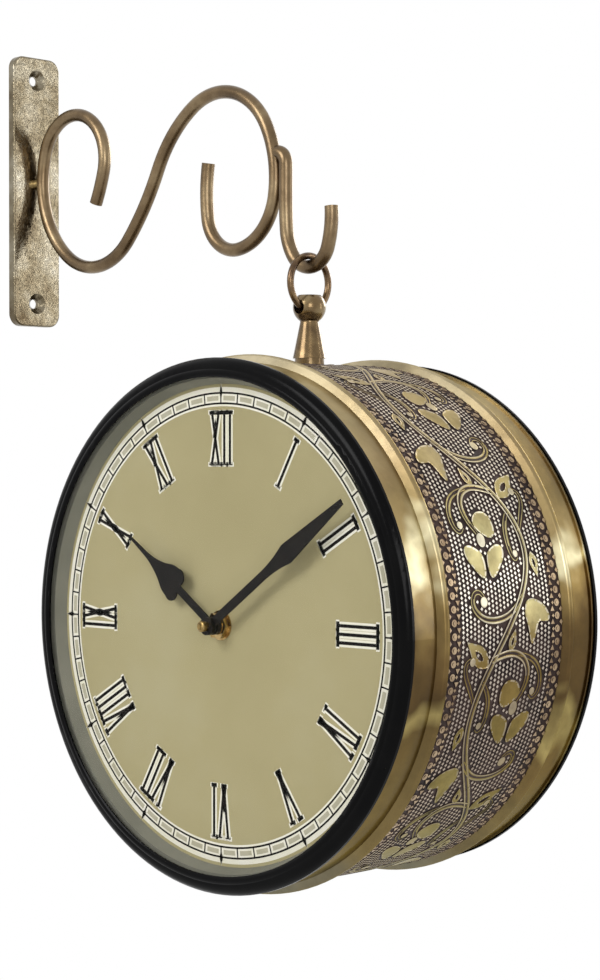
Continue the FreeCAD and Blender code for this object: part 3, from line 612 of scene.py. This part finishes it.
# the tones round the drum on the vine, petals and dots are painted light: a bright painted
# highlight streak near 14 degrees, painted shade just below it, and a lighter top
vine_brass = drum_metal_with_painted_light("rubbed_vine_brass_painted_light", [
    (-150, (186, 172, 138)), (-80, (180, 176, 152)), (-50, (178, 168, 136)),
    (-28, (162, 148, 122)), (-6, (176, 160, 134)), (14, (230, 223, 198)), (34, (210, 197, 166)),
    (62, (216, 202, 178)), (95, (210, 198, 182)), (150, (186, 172, 138))], 120, 50, (0.3, 0.45))
petal_brass = drum_metal_with_painted_light("olive_petal_brass_painted_light", [
    (-150, (158, 144, 98)), (-80, (148, 145, 112)), (-50, (146, 138, 94)), (-28, (136, 119, 66)),
    (-6, (130, 107, 56)), (14, (196, 185, 134)), (34, (176, 158, 108)), (62, (192, 175, 142)),
    (95, (192, 178, 156)), (150, (158, 144, 98))], 90, 60, (0.3, 0.42))
dot_brass = drum_metal_with_painted_light("rubbed_dot_brass_painted_light", [
    (-150, (206, 195, 178)), (-80, (212, 204, 188)), (-50, (196, 184, 170)),
    (-28, (176, 162, 150)), (-6, (192, 179, 166)), (14, (240, 233, 219)), (34, (228, 217, 203)),
    (62, (236, 225, 213)), (95, (238, 228, 217)), (150, (206, 195, 178))], 60, 40, (0.3, 0.5))
border_bronze = aged_metal(
    "brown_border_bronze", [(0.35, (128, 106, 82)), (0.6, (186, 164, 134))], 110, (0.35, 0.5))
dark_patina = aged_metal(
    "dark_band_patina", [(0.35, (42, 32, 30)), (0.6, (72, 56, 51))], 90, (0.5, 0.7), metallic=0.7)
coat(dark_patina, "embossed_band")

# the stippled ground: small squares in offset rows, left out close to the vine
DOTS_ALONG = 72
DOT_STEP, ROW_STEP, DOT_RISE = UNIT / DOTS_ALONG, 2.3 * MM, 0.3 * MM
DOT_FOOT, DOT_TOP = 1.12 * MM, 0.79 * MM
GROUND_HALF = 27.4 * MM
CLEAR = 0.85 * MM
ground = bmesh.new()
row_count = int(2 * GROUND_HALF / ROW_STEP)
unit_start = -HALF / 2
for row in range(row_count + 1):
    across = (row - row_count / 2) * ROW_STEP
    for step in range(DOTS_ALONG):
        along = unit_start + (step + 0.25 + 0.5 * (row % 2)) * DOT_STEP
        spot = Vector((along, across, VINE_RISE / 2))
        free = True
        for shift in (-UNIT, 0, UNIT):
            found, near, _, _ = vine.closest_point_on_mesh(spot + Vector((shift, 0, 0)))
            if found and (near - spot - Vector((shift, 0, 0))).length < CLEAR:
                free = False
        if free:
            bmesh.ops.create_cone(
                ground, cap_ends=True, segments=4, radius1=DOT_FOOT, radius2=DOT_TOP,
                depth=DOT_RISE + SUNK,
                matrix=Matrix.Translation((along, across, (DOT_RISE - SUNK) / 2)))
dots_mesh = bpy.data.meshes.new("band_ground_dots")
ground.to_mesh(dots_mesh)
ground.free()
dots = bpy.data.objects.new("band_ground_dots", dots_mesh)
bpy.context.collection.objects.link(dots)
two_tones(dots, dot_brass, dark_patina, DOT_RISE / 2)
two_tones(vine, vine_brass, dark_patina, VINE_RISE / 2, petal_brass, VINE_RISE - 0.06 * MM)
for piece in (vine, dots):
    repeat(piece, UNIT, REPEATS)
    bend_round(piece)
bpy.data.objects.remove(stem_section)

# flat beads with a raised eye along both edges, and between them small triangles and squares:
# corners, place across and along in bead steps, radius at foot and top, and rise
BEADS = 130
BORDER_PARTS = ((12, 31.8, 0, 2.1, 1.5, 0.42), (8, 31.8, 0, 0.9, 0.7, 0.6),
                (3, 29.0, 0.5, 2.0, 1.4, 0.36), (4, 29.3, 0, 1.1, 0.8, 0.36),
                (4, 34.4, 0.5, 1.5, 1.1, 0.36))
BORDER_TOPS = 0.2 * MM
bead_step = UNIT * REPEATS / BEADS
borders = []
for side in (-1, 1):
    parts = []
    for corners, across, along, foot, top, rise in BORDER_PARTS:
        bpy.ops.mesh.primitive_cone_add(
            vertices=corners, radius1=foot * MM, radius2=top * MM, depth=rise * MM + SUNK,
            location=(along * bead_step, side * across * MM, (rise * MM - SUNK) / 2),
            rotation=(0, 0, side * math.pi / 2))
        parts.append(bpy.context.object)
    border = join(parts, "border")
    deselect()
    border.select_set(True)
    bpy.context.view_layer.objects.active = border
    bpy.ops.object.transform_apply(location=True, rotation=True, scale=True)
    repeat(border, bead_step, BEADS)
    borders.append(border)
border = join(borders, "band_borders")
two_tones(border, border_bronze, dark_patina, BORDER_TOPS)
bend_round(border)


# ---------------------------------------------------------------- bezels
# A spun steel ring in stoved gloss black, with its rounded inner bead. Fine dust and rubbed
# edges break its shine.

GRAIN_SCALE = 1500


def painted(name, tones, patch, smooth, grain=0.00002, shine=0.5, turned=None):
    """A painted, moulded or printed skin with slow changes of tone and a fine grain."""
    finish, nodes, links, shader, place = new_finish(name)
    links.new(ramp(nodes, links, noise(nodes, links, place, patch, 5), tones),
              shader.inputs["Base Color"])
    wear = noise(nodes, links, place, patch * 9, 4, 0.7)
    links.new(span(nodes, links, wear, *smooth), shader.inputs["Roughness"])
    shader.inputs["Specular IOR Level"].default_value = shine
    source = lathe_place(nodes, links, place, *turned) if turned else place
    bump(nodes, links, noise(nodes, links, source, GRAIN_SCALE, 3), grain, shader)
    return finish


bezel_black = painted(
    "stoved_bezel_black", [(0.4, (3, 3, 4)), (0.7, (8, 8, 8))], 60, (0.16, 0.26), 0.000002,
    shine=0.07)
coat(bezel_black, "front_bezel", "rear_bezel")


# ---------------------------------------------------------------- glass and spacer
# Domed window glass sits behind the bezel's lip. A grey-green moulded ring holds it off the dial.

clear_glass, nodes, links, shader, place = new_finish("domed_clear_glass")
shader.inputs["Base Color"].default_value = tone(60, 66, 62)
shader.inputs["Alpha"].default_value = 0.03
shader.inputs["IOR"].default_value = 1.5
faint_haze = span(nodes, links, noise(nodes, links, place, 30), 0.02, 0.05)
links.new(faint_haze, shader.inputs["Roughness"])
coat(clear_glass, "front_glass", "rear_glass")
spacer_plastic = painted(
    "grey_spacer_plastic", [(0.35, (124, 124, 112)), (0.65, (142, 141, 128))], 25, (0.4, 0.55),
    shine=0.2, turned=(tuple(drum_centre), "Y"))
coat(spacer_plastic, "front_spacer_ring", "rear_spacer_ring")


# ---------------------------------------------------------------- dials
# Printed aluminium in olive cream, with a minute track, twelve pointed hour marks and roman
# numerals that stand upright from the centre. Fine pale edging goes round the black print.

dial_paint = painted(
    "olive_cream_dial", [(0.3, (176, 166, 124)), (0.5, (183, 173, 131)), (0.7, (189, 181, 143))],
    9, (0.5, 0.62), 0.00001, shine=0.15)
coat(dial_paint, "front_dial_plate", "rear_dial_plate")
print_black = painted(
    "dial_print_black", [(0.4, (14, 11, 9)), (0.6, (24, 19, 16))], 200, (0.45, 0.6), shine=0.1)
print_pale = painted(
    "dial_print_pale", [(0.4, (250, 247, 226)), (0.6, (255, 252, 238))], 60, (0.5, 0.6),
    shine=0.15)
print_shade = painted(
    "dial_print_shade", [(0.4, (192, 187, 162)), (0.6, (200, 195, 172))], 60, (0.5, 0.6),
    shine=0.15)

PRINT_THICK = 0.04 * MM
# radii and widths of the print, in millimetres
TRACK_INNER, TRACK_OUTER, TRACK_LINE, TICK = 91.3, 95.6, 0.75, 0.65
MARK_TOP, MARK_HALF, MARK_TAIL = 99.2, 0.75, 1
PALE_INNER, PALE_OUTER = TRACK_INNER - 1.2, TRACK_OUTER + 2.4
CELL_INNER, CELL_OUTER, CELL_HALF_ANGLE = 92.5, 94.4, 0.036
NUMERAL_LOW, NUMERAL_HIGH = 66.2, 87.6
STROKE, SERIF, PITCH = 1.3, 0.4, 3.35
SERIF_HALF = PITCH / 2.2
EDGING, MARK_EDGING, STROKE_FILL = 0.75, 0.35, 0.4
NUMERALS = ["I", "II", "III", "IV", "V", "VI", "VII", "VIII", "IX", "X", "XI", "XII"]
# strokes of each letter: where it stands at the top and at the bottom, in steps of the pitch
LETTERS = {"I": ([(0, 0)], 0), "V": ([(0, 0.75), (1.5, 0.75)], 1.5),
           "X": ([(0, 1.2), (1.2, 0)], 1.2)}


def bar(start, end, width, extra=0.0):
    """A flat bar between two points, as four corners."""
    along = (Vector(end) - Vector(start)).normalized()
    side = Vector((-along.y, along.x)) * (width / 2 + extra)
    first, last = Vector(start) - along * extra, Vector(end) + along * extra
    return [tuple(p) for p in (first - side, last - side, last + side, first + side)]


def numeral_bars(word, extra):
    """The strokes and serifs of one numeral standing at twelve o'clock, or their edging."""
    strokes, place = [], 0.0
    for letter in word:
        lines, width = LETTERS[letter]
        strokes += [(place + top, place + bottom) for top, bottom in lines]
        place += width + 1
    middle = (place - 1) / 2
    bars = []
    for top, bottom in strokes:
        top, bottom = (top - middle) * PITCH, (bottom - middle) * PITCH
        stroke = STROKE + (STROKE_FILL if extra else 0)
        bars.append(bar((bottom, NUMERAL_LOW), (top, NUMERAL_HIGH), stroke, extra))
        for x, height in ((top, NUMERAL_HIGH), (bottom, NUMERAL_LOW)):
            bars.append(bar((x - SERIF_HALF, height), (x + SERIF_HALF, height), SERIF, extra))
    return bars


def turn_shape(points, angle):
    """An outline turned clockwise round the dial's centre."""
    cosine, sine = math.cos(angle), math.sin(angle)
    return [(x * cosine + y * sine, y * cosine - x * sine) for x, y in points]


def ring_shapes(inner, outer, count=180):
    """A ring between two radii, in short lengths."""
    shapes = []
    for number in range(count):
        angles = [2 * math.pi * (number + share) / count for share in (0, 1)]
        shapes.append([(radius * math.sin(a), radius * math.cos(a)) for radius, a in (
            (inner, angles[0]), (outer, angles[0]), (outer, angles[1]), (inner, angles[1]))])
    return shapes


def printed(name, shapes, material, layer):
    """Thin flat print from outlines in millimetres, before it is laid on a dial."""
    data = bpy.data.meshes.new(name)
    points = [(x * MM, y * MM, 0) for shape in shapes for x, y in shape]
    faces, first = [], 0
    for shape in shapes:
        faces.append(list(range(first, first + len(shape))))
        first += len(shape)
    data.from_pydata(points, [], faces)
    data.materials.append(material)
    piece = bpy.data.objects.new(name, data)
    bpy.context.collection.objects.link(piece)
    deselect()
    piece.select_set(True)
    bpy.context.view_layer.objects.active = piece
    bpy.ops.object.mode_set(mode="EDIT")
    bpy.ops.mesh.select_all(action="SELECT")
    bpy.ops.mesh.remove_doubles(threshold=0.000005)
    bpy.ops.mesh.normals_make_consistent(inside=False)
    bpy.ops.object.mode_set(mode="OBJECT")
    if piece.data.polygons[0].normal.z < 0:
        piece.data.flip_normals()
    apply_modifier(piece, "SOLIDIFY", thickness=PRINT_THICK, offset=1)
    for vertex in piece.data.vertices:
        vertex.co.z += PRINT_THICK * layer
    return piece


def mark_shapes(extra):
    """The minute ticks and the pointed hour marks, or their edging."""
    shapes = []
    for minute in range(60):
        angle = math.radians(minute * 6)
        tick = bar((0, TRACK_INNER), (0, TRACK_OUTER), TICK, extra)
        shapes.append(turn_shape(tick, angle))
        if minute % 5 == 0:
            wide = MARK_HALF + extra
            diamond = [(0, TRACK_INNER + MARK_TAIL - extra), (-wide, TRACK_OUTER),
                       (0, MARK_TOP + extra), (wide, TRACK_OUTER)]
            shapes.append(turn_shape(diamond, angle))
    return shapes


def numeral_shapes(extra):
    """All twelve numerals in their places, or their edging."""
    return [turn_shape(one, math.radians(hour * 30))
            for hour, word in enumerate(NUMERALS, 1) for one in numeral_bars(word, extra)]


cell_shapes = []
for minute in range(60):
    middle = math.radians(minute * 6 + 3)
    for low, high in ((-CELL_HALF_ANGLE, 0), (0, CELL_HALF_ANGLE)):
        cell_shapes.append([(radius * math.sin(middle + share), radius * math.cos(middle + share))
                            for radius, share in ((CELL_INNER, low), (CELL_OUTER, low),
                                                  (CELL_OUTER, high), (CELL_INNER, high))])
black_shapes = (numeral_shapes(0.0) + mark_shapes(0.0)
                + ring_shapes(TRACK_INNER - TRACK_LINE / 2, TRACK_INNER + TRACK_LINE / 2)
                + ring_shapes(TRACK_OUTER - TRACK_LINE / 2, TRACK_OUTER + TRACK_LINE / 2))
pale_shapes = (numeral_shapes(EDGING) + ring_shapes(PALE_INNER, PALE_OUTER)
               + mark_shapes(MARK_EDGING))
# the three printings, each over the last, and how many thicknesses each lies off the dial
PRINTINGS = (("edging", pale_shapes, print_pale, 0.2), ("cells", cell_shapes, print_shade, 1.4),
             ("figures", black_shapes, print_black, 2.6))

for side, turn in (("front", 0), ("rear", math.pi)):
    dial_low, dial_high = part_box(f"{side}_dial_plate")
    depth = dial_low.y if side == "front" else dial_high.y
    lay = (Matrix.Translation((drum_centre.x, depth, drum_centre.z))
           @ Matrix.Rotation(turn, 4, "Z") @ Matrix.Rotation(math.pi / 2, 4, "X"))
    for name, shapes, ink, layer in PRINTINGS:
        piece = printed(f"{side}_dial_{name}", shapes, ink, layer)
        piece.data.transform(lay)
        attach(piece, f"{side}_face")


# ---------------------------------------------------------------- hands and their fixing
# Stamped steel hands in satin black on dark collets. The threaded bush, its nut and washer and
# the cap nut are brass.

hand_black = painted(
    "satin_hand_black", [(0.35, (16, 13, 11)), (0.7, (30, 25, 21))], 150, (0.35, 0.5), shine=0.15)
bush_brass = aged_metal(
    "bright_bush_brass", [(0.35, (158, 128, 76)), (0.65, (206, 180, 128))], 300, (0.16, 0.3))
cap_brass = aged_metal(
    "dull_cap_brass", [(0.35, (120, 96, 56)), (0.65, (172, 146, 92))], 400, (0.2, 0.35))
for side in ("front", "rear"):
    coat(hand_black, f"{side}_hour_hand", f"{side}_minute_hand")
    coat(bush_brass, f"{side}_movement_bush", f"{side}_bush_nut", f"{side}_bush_washer",
         f"{side}_hour_pipe")
    coat(cap_brass, f"{side}_hand_cap", f"{side}_minute_arbor")


# ---------------------------------------------------------------- movements, behind the dials
# A battery quartz movement in black moulded plastic on a rubber cushion, with its dry cell,
# sprung contacts and setting knob, and the wire ring that holds the dial.

case_plastic = painted(
    "moulded_case_black", [(0.4, (22, 22, 23)), (0.6, (34, 34, 35))], 120, (0.4, 0.6), 0.00008)
cushion_rubber = painted(
    "cushion_rubber", [(0.4, (30, 29, 28)), (0.6, (44, 43, 42))], 200, (0.7, 0.85), 0.00005)
knob_plastic = painted(
    "ivory_knob_plastic", [(0.4, (196, 190, 172)), (0.6, (212, 207, 192))], 200, (0.35, 0.5))
contact_steel = aged_metal(
    "nickel_contact_steel", [(0.4, (176, 172, 162)), (0.6, (206, 203, 196))], 400, (0.2, 0.35))
cell_jacket = painted(
    "cell_jacket_copper", [(0.4, (146, 92, 50)), (0.6, (172, 114, 66))], 150, (0.25, 0.35),
    shine=0.8)
for side in ("front", "rear"):
    coat(case_plastic, f"{side}_movement_case")
    coat(cushion_rubber, f"{side}_movement_cushion")
    coat(knob_plastic, f"{side}_setting_knob")
    coat(contact_steel, f"{side}_battery_contacts", f"{side}_snap_ring")
    coat(cell_jacket, f"{side}_battery")
